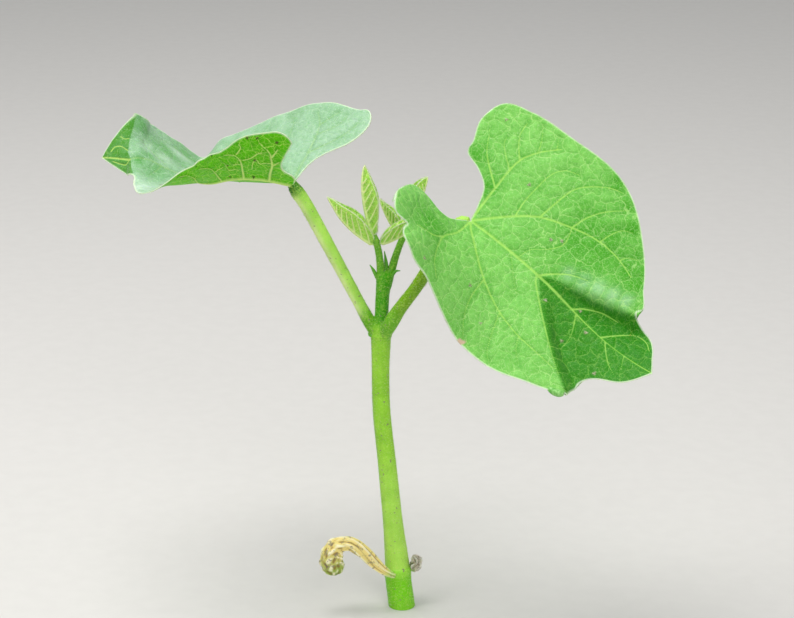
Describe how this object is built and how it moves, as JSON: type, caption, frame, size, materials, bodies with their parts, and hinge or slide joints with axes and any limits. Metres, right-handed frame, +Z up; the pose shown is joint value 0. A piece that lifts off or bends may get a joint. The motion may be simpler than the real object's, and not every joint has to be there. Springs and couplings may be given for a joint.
{
  "type": "bean seedling",
  "caption": "Young bean plant with heart-shaped first leaves, small folded young leaves at its tip and a shrivelled seed leaf on its stem.",
  "frame": {"origin": "centre of the flat cut under the stem, at ground level", "axes": "+Z up along the stem, +X towards the larger first leaf, -Y towards the side seen from the front"},
  "size_m": [0.129, 0.0748, 0.1276],
  "materials": {
    "stem_skin": "smooth green skin with fine pale hairs",
    "stalk_skin": "smooth pale green skin with fine pale hairs",
    "joint_skin": "darker green, slightly swollen and rough",
    "leaf_blade": "soft sheen, quilted between pale veins",
    "young_skin": "soft, hairy",
    "young_blade": "soft, hairy, with pale raised veins",
    "dried_leaf": "wrinkled, drying, ochre"
  },
  "bodies": {
    "root": {"stem": "stem_skin", "upper_stem": "stem_skin", "petiole_left_base": "joint_skin", "petiole_left": "stalk_skin", "petiole_left_top": "joint_skin", "petiole_right_base": "joint_skin", "petiole_right": "stalk_skin", "petiole_right_top": "joint_skin", "leaf_left": "leaf_blade", "leaf_right": "leaf_blade", "young_petiole_a": "young_skin", "young_petiole_b": "young_skin", "young_leaf_a_left": "young_blade", "young_leaf_a_middle": "young_blade", "young_leaf_a_right": "young_blade", "young_leaf_b_left": "young_blade", "young_leaf_b_middle": "young_blade", "young_leaf_b_right": "young_blade", "shoot_tip": "young_skin", "stipule_left": "young_skin", "stipule_right": "young_skin", "node_stipule": "young_skin", "seed_leaf": "dried_leaf", "seed_leaf_tip": "dried_leaf", "seed_leaf_scar": "dried_leaf"}
  },
  "joints": []
}
